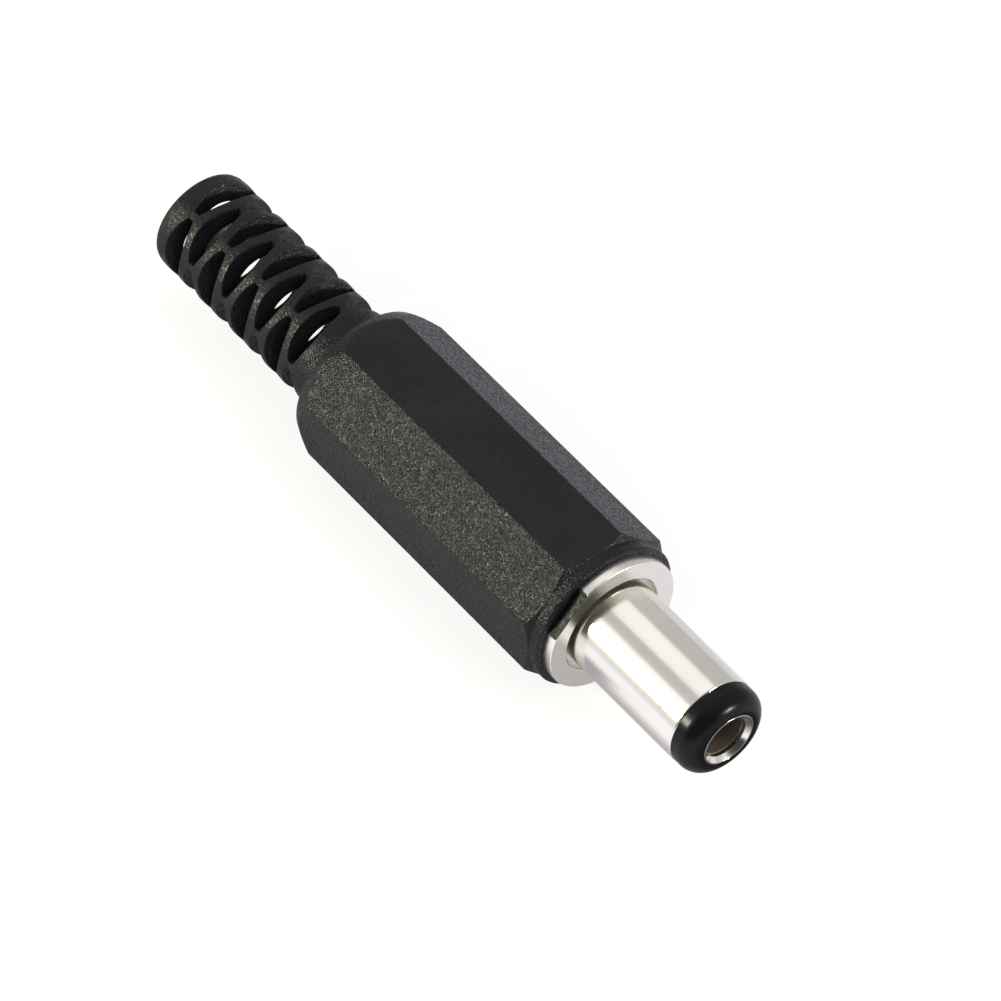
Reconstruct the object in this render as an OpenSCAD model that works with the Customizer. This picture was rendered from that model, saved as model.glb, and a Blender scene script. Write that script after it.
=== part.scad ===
// Coaxial dc power plug: a plated barrel with an insulated nose, a flanged and threaded
// collar, two solder lugs and a screw-on octagonal handle with a slotted strain relief.
// The plug's axis is X and the barrel points to +X. X = 0 is the collar's mating face,
// and the handle lies on one of its eight flats.

/* [Barrel] */
// Outer diameter of the barrel
barrel_d = 5.5; // [5:0.05:6.3]
// Wall of the barrel tube
barrel_wall = 0.4; // [0.3:0.05:0.45]
// Length of plated barrel in front of the mating face
barrel_l = 8.16; // [6:0.02:12]
// Length of the black nose in front of the barrel
nose_l = 1.5; // [1.3:0.05:2.5]
// Rounding of the nose's front edge
nose_round = 1.0; // [0.5:0.05:1.05]
// How far the nose's side stands back from the barrel's surface
nose_step = 0.03; // [0.01:0.01:0.1]
// Rounding of the barrel's front edge
barrel_round = 0.1; // [0.05:0.01:0.15]
// How much slimmer in radius the barrel's root is, where it is pressed into the collar
root_step = 0.18; // [0.16:0.01:0.2]

/* [Centre contact] */
// Bore for the jack's pin
pin_bore_d = 2.5; // [2.1:0.05:2.6]
// Wall of the slotted spring that grips the pin
spring_wall = 0.1; // [0.08:0.01:0.14]
// Length of the spring
spring_l = 6; // [4:0.1:8]
// How far the spring sits behind the contact's lip
spring_setback = 0.5; // [0.4:0.05:1]
// Number of slots in the spring
spring_slots = 4; // [2:1:6]
// Width of each slot in the spring
spring_slot_w = 0.22; // [0.1:0.01:0.25]
// Unslotted band at the spring's front
spring_band = 0.8; // [0.5:0.1:1.5]
// Wall of the contact tube round the spring
contact_wall = 0.18; // [0.14:0.01:0.2]
// Width of the lip rolled out over the nose
lip_w = 0.1; // [0.06:0.01:0.14]
// Thickness of the lip
lip_t = 0.2; // [0.12:0.01:0.3]
// Depth of the contact's inside behind the lip
contact_depth = 9; // [8.6:0.1:11]
// Diameter of the contact's riveted tail
tail_d = 1.8; // [1.2:0.05:2]
// Diameter of the rivet head on the tail
rivet_d = 2.7; // [2.3:0.05:3]
// Height of the rivet head
rivet_h = 0.4; // [0.25:0.05:0.6]

/* [Collar] */
// Diameter of the flange
flange_d = 8.33; // [8:0.01:8.8]
// Thickness of the flange
flange_t = 0.68; // [0.5:0.02:1.2]
// Distance across the flange's two wrench flats
wrench_af = 7.82; // [7.6:0.02:8]
// Turn of the wrench flats round the axis
wrench_turn = 45; // [0:5:90]
// Bevel of the flange's front edge
flange_bevel = 0.06; // [0.02:0.01:0.12]
// Diameter of the recess round the barrel
recess_d = 6.1; // [5.9:0.05:6.4]
// Depth of the recess
recess_depth = 0.8; // [0.3:0.05:1.5]
// Outer diameter of the thread
thread_d = 7; // [6.9:0.05:7.2]
// Pitch of the thread
thread_pitch = 0.5; // [0.4:0.05:0.6]
// Depth of the thread
thread_depth = 0.26; // [0.15:0.01:0.3]
// Number of thread turns
thread_turns = 10; // [6:1:12]
// Length of the plain neck between the flange and the thread
thread_relief = 0.5; // [0.3:0.05:1]
// Thickness of the wall that closes the collar's rear
collar_end_t = 0.8; // [0.5:0.05:1.2]
// Diameter of the rear spigot that the barrel lug is staked on
spigot_d = 5; // [4.8:0.05:5.1]
// Width of the staked rim on the spigot
stake_w = 0.1; // [0.05:0.01:0.12]
// Thickness of the staked rim
stake_t = 0.2; // [0.1:0.05:0.3]

/* [Handle] */
// Distance across the handle's flats
handle_af = 9.14; // [9:0.02:10.5]
// How far the eight corners are turned down
corner_relief = 0.03; // [0.01:0.01:0.1]
// Length of the octagonal handle
handle_l = 20.95; // [20:0.05:26]
// Length of the cone at the handle's front
front_cone_l = 0.28; // [0.2:0.01:0.6]
// Length of the round rim at the handle's front
rim_l = 0.7; // [0.4:0.01:1]
// Diameter of that rim
rim_d = 9.1; // [8.9:0.02:9.12]
// Rounding of the rim's front edge
rim_round = 0.12; // [0.05:0.01:0.15]
// Length of the cone at the handle's rear
rear_cone_l = 1.25; // [0.8:0.05:2.5]
// Diameter that the rear cone narrows to
rear_face_d = 8.7; // [8:0.05:9]
// Rounding of the handle's rear edge
rear_round = 0.2; // [0.1:0.01:0.3]
// Length of the screw socket
socket_l = 6.1; // [6:0.05:7]
// Diameter of the wiring space behind the socket
wiring_d = 6.8; // [6.7:0.05:6.9]
// Thickness of the handle's rear wall
rear_wall = 0.7; // [0.5:0.05:1.2]
// Length of the funnel that leads the cable into the strain relief
funnel_l = 1; // [0.5:0.05:1.5]

/* [Strain relief] */
// Outer diameter of the strain relief, over its ribs
relief_d = 6.24; // [6:0.02:6.6]
// Bore of the solid rear ring that guides the cable
cable_d = 4; // [3.6:0.05:4.1]
// How much wider in radius the bore is in front of that ring
ring_step = 0.17; // [0.16:0.01:0.25]
// Number of rows of slots
slot_rows = 8; // [2:1:12]
// Distance between the rows
row_pitch = 1.475; // [1.4:0.005:2]
// Number of slots round each row
slots_round = 4; // [3:1:4]
// Width of a slot at its middle
slot_w = 1.24; // [0.8:0.01:1.3]
// Width of a slot at its ends
slot_end_w = 0.36; // [0.2:0.01:0.5]
// Width of the post left between two slots of a row
post_w = 0.44; // [0.4:0.01:0.8]
// Turn of the first row round the axis
slot_turn = 30; // [0:1:90]
// Distance from the handle's rear face to the first row's middle
neck_l = 2.37; // [1:0.01:4]
// Distance from the last row's middle to the rear end
end_l = 1.7; // [1.2:0.01:3]
// How far each rib swells above the rows of slots
rib_swell = 0.06; // [0.02:0.01:0.1]
// Rounding of the rear end's outer edge
end_round = 0.35; // [0.1:0.01:0.5]
// Bevel inside the rear end
end_bevel = 0.2; // [0.05:0.01:0.3]

/* [Lugs] */
// Thickness of the stamped lugs
lug_t = 0.4; // [0.3:0.05:0.5]
// Outer diameter of the barrel lug's ring
barrel_lug_d = 6.5; // [6.2:0.05:6.6]
// Width of the barrel lug's strap
strap_w = 2.2; // [1.6:0.1:2.4]
// Distance from the axis to the strap's far face
strap_drop = 3.12; // [3.05:0.01:3.14]
// Length of the strap between the ring and the cable clamp
strap_l = 7.6; // [7:0.1:9]
// Length of the cable clamp
clamp_l = 4; // [2:0.1:4.2]
// Inner width of the cable clamp
clamp_w = 4; // [3.4:0.1:4.4]
// Height of the clamp's ears above its round bottom
ear_h = 1.9; // [0.8:0.1:2]
// Diameter of the wire hole in the strap
strap_hole_d = 1.3; // [0.8:0.05:1.4]
// Outer diameter of the centre lug's ring
centre_lug_d = 4.2; // [3.6:0.05:4.6]
// Width of the centre lug's tab
tab_w = 2.2; // [1.6:0.05:2.4]
// Distance from the axis to the tab's far face
tab_rise = 2.1; // [1.9:0.05:2.4]
// Length of the centre lug's tab
tab_l = 4.6; // [3:0.1:6]
// Diameter of the wire hole in the tab
tab_hole_d = 1.2; // [0.8:0.05:1.4]

/* [Insulating bush] */
// Clearance between the bush's flange and the strap that passes it
bush_gap = 0.1; // [0.05:0.01:0.15]
// Thickness of the bush's flange
bush_flange_t = 0.6; // [0.4:0.05:1]
// Diameter of the bush's hub
bush_hub_d = 3.4; // [2.8:0.05:3.6]

/* [Fits] */
// Radial clearance between the screw thread and the handle's socket
thread_play = 0.1; // [0.05:0.01:0.1]
// Radial clearance of parts that are pushed into each other
push_play = 0.02; // [0.01:0.01:0.03]

/* [Quality] */
// Facets on a full circle
round_facets = 72; // [48:12:144]

/* [Hidden] */
$fn = round_facets;
cut = 1;
barrel_r = barrel_d / 2;
barrel_root_r = barrel_r - root_step;
barrel_in_r = barrel_r - barrel_wall;
nose_r = barrel_r - nose_step;
tip_x = barrel_l + nose_l;
spring_in_r = pin_bore_d / 2;
spring_r = spring_in_r + spring_wall;
contact_in_r = spring_r + push_play;
contact_r = contact_in_r + contact_wall;
lip_r = contact_r + lip_w;
mouth_r = spring_in_r + spring_wall / 2;
lip_bevel = contact_r - mouth_r;
spring_front_x = tip_x - spring_setback;
contact_floor_x = tip_x - contact_depth;
tail_r = tail_d / 2;
flange_r = flange_d / 2;
seat_x = -flange_t;
thread_r = thread_d / 2;
root_r = thread_r - thread_depth;
thread_front_x = seat_x - thread_relief;
thread_rear_x = thread_front_x - thread_turns * thread_pitch;
collar_step_x = thread_rear_x + collar_end_t;
spigot_r = spigot_d / 2;
spigot_x = thread_rear_x - lug_t - stake_t;
bush_x = spigot_x - bush_flange_t;
bush_flange_r = strap_drop - lug_t - bush_gap;
centre_lug_x = bush_x - lug_t;
rivet_x = centre_lug_x - rivet_h;
octagon_r = handle_af / 2 / cos(22.5);
corner_r = octagon_r - corner_relief;
shoulder_x = seat_x - handle_l;
rim_r = rim_d / 2;
rear_r = rear_face_d / 2;
rear_slope = atan((corner_r - rear_r) / rear_cone_l);
rear_tangent = rear_round / tan(45 + rear_slope / 2);
socket_r = thread_r + thread_play;
socket_x = seat_x - socket_l;
wiring_r = wiring_d / 2;
wiring_x = shoulder_x + rear_wall + funnel_l;
relief_r = relief_d / 2;
valley_r = relief_r - rib_swell;
cable_r = cable_d / 2;
relief_in_r = cable_r + ring_step;
ring_x = shoulder_x - neck_l - (slot_rows - 1) * row_pitch - (slot_w + ring_step) / 2;
relief_end_x = shoulder_x - neck_l - (slot_rows - 1) * row_pitch - end_l;
slot_half_angle = 180 / slots_round - asin(post_w / 2 / relief_r);
slot_reach = relief_r * sin(slot_half_angle);
slot_bulge = (slot_w - slot_end_w) / 2;
slot_arc_r = (slot_reach * slot_reach + slot_bulge * slot_bulge) / (2 * slot_bulge);
rib_half_l = row_pitch / 2;
rib_arc_r = (rib_half_l * rib_half_l + rib_swell * rib_swell) / (2 * rib_swell);
strap_x = thread_rear_x - lug_t - strap_l;
clamp_r = clamp_w / 2;
clamp_z = -strap_drop + lug_t + clamp_r;

// Turns a profile, drawn as [radius, place along the plug], round the plug's axis.
module turned() {
    rotate([0, 90, 0])
        rotate_extrude()
            children();
}

// A rectangle of a turned profile.
module band(r0, r1, x0, x1) {
    translate([r0, x0])
        square([r1 - r0, x1 - x0]);
}

// Sawtooth edge of a thread: a point pair for each turn, from x0 towards -X.
function thread_points(outer, inner, x0) =
    [for (i = [0 : thread_turns - 1], side = [0, 1])
        [side == 0 ? inner : outer, x0 - (i + side / 2) * thread_pitch]];

// Turned profile that trims the octagon: a round rim and a cone in front, a cone behind.
module handle_profile() {
    polygon([
        [0, shoulder_x],
        [rear_r - rear_tangent, shoulder_x],
        [rear_r + rear_tangent * sin(rear_slope), shoulder_x + rear_tangent * cos(rear_slope)],
        [corner_r, shoulder_x + rear_cone_l],
        [corner_r, seat_x - rim_l - front_cone_l],
        [rim_r, seat_x - rim_l],
        [rim_r, seat_x - rim_round],
        [rim_r - rim_round, seat_x],
        [0, seat_x]
    ]);
    translate([rear_r - rear_tangent, shoulder_x + rear_round])
        circle(r = rear_round);
    translate([rim_r - rim_round, seat_x - rim_round])
        circle(r = rim_round);
}

// Octagonal prism whose cones at both ends leave a scalloped edge on every flat.
module handle_blank() {
    intersection() {
        translate([shoulder_x, 0, 0])
            rotate([0, 90, 0])
                rotate([0, 0, 22.5])
                    cylinder(r = octagon_r, h = handle_l, $fn = 8);
        turned()
            handle_profile();
    }
}

// Profile of the strain relief: a tube whose ribs swell between the rows of slots.
module relief_profile() {
    band(0, valley_r, relief_end_x + end_round, shoulder_x + rear_wall / 2);
    band(0, valley_r - end_round, relief_end_x, relief_end_x + end_round);
    translate([valley_r - end_round, relief_end_x + end_round])
        circle(r = end_round);
    for (i = [0 : slot_rows])
        intersection() {
            translate([relief_r - rib_arc_r, shoulder_x - neck_l + (0.5 - i) * row_pitch])
                circle(r = rib_arc_r);
            band(cable_r, relief_r + cut,
                 shoulder_x - neck_l - i * row_pitch, shoulder_x - neck_l + (1 - i) * row_pitch);
        }
}

// One lens-shaped slot through the wall at the top, with ends that run to the axis.
module relief_slot() {
    intersection() {
        translate([0, 0, cable_r / 2])
            linear_extrude(height = relief_r)
                intersection() {
                    translate([slot_arc_r - slot_w / 2, 0])
                        circle(r = slot_arc_r);
                    translate([slot_w / 2 - slot_arc_r, 0])
                        circle(r = slot_arc_r);
                }
        translate([-slot_w, 0, 0])
            rotate([90, 0, 90])
                linear_extrude(height = 2 * slot_w)
                    polygon([
                        [0, 0],
                        [2 * relief_r * tan(slot_half_angle), 2 * relief_r],
                        [-2 * relief_r * tan(slot_half_angle), 2 * relief_r]
                    ]);
    }
}

// Inside of the handle: screw socket, wiring space, funnel and cable bore.
module handle_bore_profile() {
    band(0, socket_r, socket_x, seat_x + cut);
    polygon(concat(
        [[0, thread_front_x]],
        thread_points(socket_r + thread_depth, socket_r - push_play, thread_front_x),
        [[socket_r - push_play, thread_rear_x], [0, thread_rear_x]]
    ));
    band(0, wiring_r, wiring_x, socket_x + cut);
    polygon([
        [0, wiring_x],
        [wiring_r, wiring_x],
        [relief_in_r, wiring_x - funnel_l],
        [relief_in_r, ring_x],
        [cable_r, ring_x - ring_step],
        [cable_r, relief_end_x + end_bevel],
        [cable_r + end_bevel, relief_end_x],
        [cable_r + end_bevel, relief_end_x - cut],
        [0, relief_end_x - cut]
    ]);
}

module handle() {
    color([0.13, 0.13, 0.14])
        difference() {
            union() {
                handle_blank();
                turned()
                    relief_profile();
            }
            turned()
                handle_bore_profile();
            for (row = [0 : slot_rows - 1], i = [0 : slots_round - 1])
                translate([shoulder_x - neck_l - row * row_pitch, 0, 0])
                    rotate([slot_turn + (i + (row % 2) / 2) * 360 / slots_round, 0, 0])
                        relief_slot();
        }
}

module collar() {
    color([0.80, 0.79, 0.77])
        difference() {
            union() {
                intersection() {
                    turned()
                        polygon([
                            [0, seat_x],
                            [flange_r, seat_x],
                            [flange_r, -flange_bevel],
                            [flange_r - flange_bevel, 0],
                            [0, 0]
                        ]);
                    rotate([wrench_turn, 0, 0])
                        cube([2 * flange_t + cut, flange_d + cut, wrench_af], center = true);
                }
                turned()
                    polygon(concat(
                        [[0, seat_x / 2], [root_r, seat_x / 2]],
                        thread_points(thread_r, root_r, thread_front_x),
                        [[root_r, thread_rear_x],
                         [spigot_r, thread_rear_x],
                         [spigot_r, spigot_x + stake_t],
                         [spigot_r + stake_w, spigot_x + stake_t],
                         [spigot_r + stake_w, spigot_x],
                         [0, spigot_x]]
                    ));
            }
            turned()
                band(0, recess_d / 2, -recess_depth, cut);
            turned()
                band(0, barrel_root_r, collar_step_x, 0);
            turned()
                band(0, bush_hub_d / 2 + push_play, spigot_x - cut, collar_step_x + cut);
        }
}

module barrel() {
    color([0.86, 0.84, 0.80])
        turned() {
            band(barrel_in_r, barrel_root_r, collar_step_x, barrel_l - barrel_round);
            band(barrel_in_r, barrel_r, 0, barrel_l - barrel_round);
            band(barrel_in_r, barrel_r - barrel_round, 0, barrel_l);
            translate([barrel_r - barrel_round, barrel_l - barrel_round])
                circle(r = barrel_round);
        }
}

module nose_insulator() {
    color([0.05, 0.05, 0.05])
        turned()
            difference() {
                union() {
                    band(0, nose_r, barrel_l, tip_x - nose_round);
                    band(0, nose_r - nose_round, barrel_l, tip_x);
                    translate([nose_r - nose_round, tip_x - nose_round])
                        intersection() {
                            circle(r = nose_round);
                            square(nose_round);
                        }
                    band(0, barrel_in_r - push_play, collar_step_x, barrel_l);
                }
                band(0, contact_r + push_play, collar_step_x - cut, tip_x + cut);
                band(0, lip_r, tip_x - lip_t, tip_x + cut);
            }
}

module contact_tube() {
    color([0.84, 0.82, 0.78])
        turned()
            difference() {
                polygon([
                    [0, rivet_x],
                    [tail_r, rivet_x],
                    [rivet_d / 2, centre_lug_x - rivet_h / 2],
                    [rivet_d / 2, centre_lug_x],
                    [tail_r, centre_lug_x],
                    [tail_r, collar_step_x],
                    [contact_r, collar_step_x],
                    [contact_r, tip_x - lip_t],
                    [lip_r, tip_x - lip_t],
                    [lip_r, tip_x],
                    [0, tip_x]
                ]);
                polygon([
                    [0, contact_floor_x],
                    [contact_in_r, contact_floor_x],
                    [contact_in_r, spring_front_x],
                    [mouth_r, spring_front_x],
                    [mouth_r, tip_x - lip_bevel],
                    [contact_r, tip_x],
                    [contact_r, tip_x + cut],
                    [0, tip_x + cut]
                ]);
            }
}

module contact_spring() {
    color([0.78, 0.62, 0.36])
        difference() {
            turned()
                band(spring_in_r, spring_r, spring_front_x - spring_l, spring_front_x);
            for (i = [0 : spring_slots - 1])
                rotate([(i + 0.5) * 360 / spring_slots, 0, 0])
                    translate([spring_front_x - spring_l - cut, -spring_slot_w / 2, 0])
                        cube([spring_l - spring_band + cut, spring_slot_w, spring_r + cut]);
        }
}

module barrel_lug() {
    color([0.74, 0.74, 0.73])
        difference() {
            union() {
                turned()
                    band(0, barrel_lug_d / 2, thread_rear_x - lug_t, thread_rear_x);
                translate([strap_x - lug_t, -strap_w / 2, -strap_drop])
                    cube([strap_l + 2 * lug_t, strap_w, lug_t]);
                translate([strap_x - clamp_l, 0, clamp_z])
                    rotate([90, 0, 90])
                        linear_extrude(height = clamp_l)
                            difference() {
                                union() {
                                    circle(r = clamp_r + lug_t);
                                    translate([-clamp_r - lug_t, 0])
                                        square([clamp_w + 2 * lug_t, ear_h]);
                                }
                                circle(r = clamp_r);
                                translate([-clamp_r, 0])
                                    square([clamp_w, clamp_w]);
                            }
            }
            turned()
                band(0, spigot_r, thread_rear_x - lug_t - cut, thread_rear_x + cut);
            translate([strap_x + strap_l / 2, 0, -strap_drop - cut])
                cylinder(d = strap_hole_d, h = lug_t + 2 * cut);
        }
}

module insulating_bush() {
    color([0.62, 0.36, 0.20])
        turned()
            difference() {
                union() {
                    band(0, bush_hub_d / 2, bush_x, collar_step_x);
                    band(0, bush_flange_r, bush_x, spigot_x);
                }
                band(0, tail_r + push_play, bush_x - cut, collar_step_x + cut);
            }
}

module centre_lug() {
    color([0.80, 0.78, 0.74])
        difference() {
            union() {
                turned()
                    band(0, centre_lug_d / 2, centre_lug_x, bush_x);
                translate([centre_lug_x, -tab_w / 2, 0])
                    cube([lug_t, tab_w, tab_rise]);
                translate([bush_x - tab_l, -tab_w / 2, tab_rise - lug_t])
                    cube([tab_l, tab_w, lug_t]);
            }
            turned()
                band(0, tail_r + push_play, centre_lug_x - cut, bush_x + cut);
            translate([bush_x - tab_l + tab_w / 2, 0, tab_rise - lug_t - cut])
                cylinder(d = tab_hole_d, h = lug_t + 2 * cut);
        }
}

handle();
collar();
barrel();
nose_insulator();
contact_tube();
contact_spring();
barrel_lug();
insulating_bush();
centre_lug();
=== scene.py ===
"""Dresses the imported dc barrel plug: moulded, turned and plated surfaces, a studio and a camera.

The pieces that show are worked out again as fine surfaces at the frame's own places, and the
pieces inside the handle keep the frame's meshes and get their finishes.
"""

import math

import bpy
import numpy as np
from bpy.props import FloatProperty, FloatVectorProperty, IntProperty, PointerProperty
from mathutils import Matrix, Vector


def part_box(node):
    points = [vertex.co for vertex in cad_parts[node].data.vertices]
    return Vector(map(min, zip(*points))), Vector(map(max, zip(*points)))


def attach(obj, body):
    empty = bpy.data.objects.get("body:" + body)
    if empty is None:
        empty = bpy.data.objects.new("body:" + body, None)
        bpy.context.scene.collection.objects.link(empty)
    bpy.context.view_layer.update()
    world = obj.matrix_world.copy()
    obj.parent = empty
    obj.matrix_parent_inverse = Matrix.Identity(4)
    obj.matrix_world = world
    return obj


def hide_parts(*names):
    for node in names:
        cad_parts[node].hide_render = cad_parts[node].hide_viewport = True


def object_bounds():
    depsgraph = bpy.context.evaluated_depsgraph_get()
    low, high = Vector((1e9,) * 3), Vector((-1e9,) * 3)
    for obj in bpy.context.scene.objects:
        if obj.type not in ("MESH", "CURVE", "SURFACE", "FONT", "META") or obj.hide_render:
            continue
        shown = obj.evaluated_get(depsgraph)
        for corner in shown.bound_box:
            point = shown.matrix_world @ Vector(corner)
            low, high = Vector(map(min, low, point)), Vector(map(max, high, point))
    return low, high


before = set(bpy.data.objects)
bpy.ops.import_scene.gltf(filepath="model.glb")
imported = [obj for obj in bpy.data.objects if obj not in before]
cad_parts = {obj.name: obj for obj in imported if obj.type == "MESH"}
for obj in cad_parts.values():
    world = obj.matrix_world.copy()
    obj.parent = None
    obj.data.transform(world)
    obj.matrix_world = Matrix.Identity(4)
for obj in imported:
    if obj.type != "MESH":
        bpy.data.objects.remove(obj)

bl_info = {
    "name": "Barrel Plug Finisher",
    "version": (1, 0, 0),
    "blender": (4, 5, 0),
    "location": "3D View > Sidebar > Plug",
    "description": "Builds the fine surfaces, finishes and studio of a dc barrel plug",
    "category": "Object",
}

MM = 0.001
WELD = 1e-8  # Points that agree to this many metres are one
CREASE = 0.02 * MM  # Rounding of an edge that still looks sharp
GUARD = 0.02 * MM  # From an arc's end to the point that keeps the next stretch straight
ARCS_SHARE = 0.97  # Most of a stretch that the arcs at its ends take up
GUARD_SHARE = 0.45  # Most of the rest of a stretch that a guard point takes up
SHARP = math.radians(38)  # Faces that turn by more meet at a sharp edge
FULL_TURN = 2 * math.pi
HALF_SIDE = math.pi / 8  # Half the angle of one of the handle's eight sides
FLATS_FACE = math.radians(45)  # From the top to where the collar's wrench flats face
LAMPS_AIM = Vector((-6 * MM, 0, 0))  # The lamps face this point, in the handle's front
GLANCE = -0.4916  # A lamp's direction along the plug for the barrel to mirror it to the camera
FLOOR_HALF = 1.5  # Half the side of the floor
SENSOR = 36  # Width of the camera's sensor in millimetres
CLIP = (0.01, 10)  # Nearest and farthest that the camera sees
CAD_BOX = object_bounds()


def span(node, axis):
    """Lowest and highest place of a frame node along one axis, in metres."""
    low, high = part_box(node)
    return low[axis], high[axis]


REAR_END, SEAT = span("handle", 0)
FLAT = span("handle", 2)[1]
SPIGOT_END, FACE = span("collar", 0)
FLANGE = span("collar", 2)[1]
BARREL_FLOOR, BARREL_END = span("barrel", 0)
BARREL = span("barrel", 2)[1]
NOSE_FLOOR, TIP = span("nose_insulator", 0)
RIVET_END = span("contact_tube", 0)[0]
SPRING_FRONT = span("contact_spring", 0)[1]


def length(name, about, millimetres):
    """A size of the plug, given in millimetres and kept in metres."""
    return FloatProperty(
        name=name, description=about, default=millimetres * MM, precision=6, unit="LENGTH"
    )


def angle(name, about, degrees):
    """An angle, given in degrees and kept in radians."""
    return FloatProperty(
        name=name, description=about, default=math.radians(degrees), subtype="ANGLE"
    )


def number(name, about, value):
    """A plain number, such as a share or a level."""
    return FloatProperty(name=name, description=about, default=value)


def tint(name, about, rgb):
    """A colour, as linear red, green and blue."""
    return FloatVectorProperty(
        name=name, description=about, default=rgb, size=3, min=0, max=1, subtype="COLOR"
    )


class HandleSizes(bpy.types.PropertyGroup):
    """Sizes of the octagonal handle and its screw socket."""

    body: length("Body", "Length of the octagonal body", 20.95)
    edge: length("Edge", "Rounding along the eight long edges", 0.2)
    turned: length("Turned corners", "Radius of the turned corners", 4.9165)
    rim: length("Rim", "Radius of the round front rim", 4.55)
    rim_run: length("Rim length", "Length of the front rim", 0.7)
    rim_round: length("Rim edge", "Rounding of the rim's front edge", 0.12)
    front_cone: length("Front cone", "Length of the cone behind the rim", 0.28)
    rear_cone: length("Rear cone", "Length of the cone at the rear", 1.25)
    rear: length("Rear", "Radius that the rear cone narrows to", 4.35)
    rear_round: length("Rear edge", "Rounding of the rear edge", 0.2)
    ease: length("Scallop edge", "Half width of the eased scalloped edges", 0.05)
    socket: length("Socket", "Radius of the screw socket", 3.6)
    socket_run: length("Socket length", "Length of the screw socket", 6.1)
    wiring: length("Wiring space", "Radius of the wiring space", 3.4)
    wall: length("Rear wall", "Thickness of the rear wall", 0.7)
    funnel: length("Funnel", "Length of the funnel to the cable bore", 1)


class ReliefSizes(bpy.types.PropertyGroup):
    """Sizes of the slotted strain relief."""

    outer: length("Outer", "Radius over the ribs", 3.12)
    inner: length("Inner", "Radius of the bore between the slots", 2.17)
    bore: length("Ring bore", "Radius of the solid rear ring's bore", 2)
    swell: length("Swell", "How far the ribs swell", 0.06)
    rows: IntProperty(name="Rows", description="Number of rows of slots", default=8)
    pitch: length("Pitch", "Distance between the rows", 1.475)
    around: IntProperty(name="Slots", description="Number of slots in a row", default=4)
    slot: length("Slot width", "Width of a slot at its middle", 1.24)
    slot_end: length("Slot end", "Width of a slot at its ends", 0.36)
    taper: number("Taper", "Share of a slot's width lost by the bore", 0.6)
    post: length("Post", "Width of a post between two slots", 0.44)
    turn: angle("Turn", "Turn of the first row round the axis", 30)
    neck: length("Neck", "Distance from the handle to the first row", 2.37)
    soften: length("Soften", "Rounding along the slots' outer edges", 0.07)
    end_round: length("End edge", "Rounding of the rear end", 0.35)
    end_bevel: length("End bevel", "Bevel inside the rear end", 0.2)
    fillet: length("Fillet", "Fillet between the handle and the neck", 0.15)


class MetalSizes(bpy.types.PropertyGroup):
    """Sizes of the turned metal pieces and of the nose."""

    flange: length("Flange", "Thickness of the flange", 0.68)
    flats: length("Flats", "Distance across the flange's wrench flats", 7.82)
    recess: length("Recess", "Radius of the recess round the barrel", 3.05)
    recess_run: length("Recess depth", "Depth of the recess", 0.8)
    thread: length("Thread", "Outer radius of the thread", 3.5)
    depth: length("Thread depth", "Depth of the thread", 0.26)
    pitch: length("Pitch", "Pitch of the thread", 0.5)
    turns: IntProperty(name="Turns", description="Turns of the thread", default=10)
    neck: length("Thread neck", "Plain neck in front of the thread", 0.5)
    spigot: length("Spigot", "Radius of the rear spigot", 2.5)
    stake: length("Stake", "How far the staked rim stands out", 0.1)
    stake_run: length("Stake length", "Length of the staked rim", 0.2)
    hub: length("Hub bore", "Radius of the bore for the bush", 1.72)
    root: length("Barrel root", "Radius of the barrel's pressed root", 2.57)
    tube: length("Barrel bore", "Radius inside the barrel", 2.35)
    nose_step: length("Nose step", "How far the nose stands back", 0.03)
    nose_round: length("Nose edge", "Rounding of the nose", 1)
    contact: length("Contact", "Outer radius of the contact tube", 1.55)
    contact_in: length("Contact bore", "Radius inside the contact tube", 1.37)
    lip: length("Lip", "Outer radius of the contact's lip", 1.65)
    lip_run: length("Lip thickness", "Thickness of the lip", 0.2)
    mouth: length("Mouth", "Radius of the contact's mouth", 1.3)
    floor: length("Contact floor", "Depth inside the contact", 9)
    tail: length("Tail", "Radius of the contact's tail", 0.9)
    rivet: length("Rivet", "Radius of the rivet head", 1.35)
    rivet_run: length("Rivet height", "Height of the rivet head", 0.4)
    play: length("Play", "Clearance between pushed pieces", 0.02)


class PlugColours(bpy.types.PropertyGroup):
    """Colours of the plug's finishes."""

    plastic: tint("Handle", "Black moulded plastic", (0.0072, 0.0068, 0.0084))
    nose: tint("Nose", "Glossy black plastic", (0.004, 0.004, 0.0045))
    nickel: tint("Nickel", "Bright nickel plate", (0.93, 0.905, 0.83))
    tin: tint("Tin", "Tin plate on the lugs", (0.72, 0.72, 0.7))
    bronze: tint("Bronze", "Dull phosphor bronze", (0.2, 0.16, 0.12))
    fibre: tint("Fibre", "Vulcanised fibre", (0.21, 0.06, 0.025))
    floor: tint("Floor", "Pale floor", (0.86, 0.86, 0.86))


class StudioSettings(bpy.types.PropertyGroup):
    """The camera, lamps and surroundings."""

    azimuth: angle("Azimuth", "Turn of the camera from +X towards -Y", 38.3326)
    elevation: angle("Elevation", "Height of the camera over the floor's plane", 51.1944)
    distance: length("Distance", "From the camera to the point it looks at", 426.85)
    ahead: length("Aim along", "Where the camera looks along the plug", -10.2024)
    across: length("Aim across", "Where it looks across the plug", 0.5916)
    lens: number("Lens", "Focal length in millimetres", 289.155)
    fill: number("Fill", "Even light from all round", 0.5)
    room: number("Room", "Radiance of the room in mirrors", 0.53)
    side: number("Side lamp", "Radiance of the side softbox", 0.5)
    core: number("Side core", "Radiance of its bright middle", 54)
    top: number("Top lamp", "Radiance of the top softbox", 0.5)
    high: number("Ceiling lamp", "Radiance of the ceiling lamp", 3)
    spot: number("Small lamp", "Radiance of the small lamp", 75)


# Meshes


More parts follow.
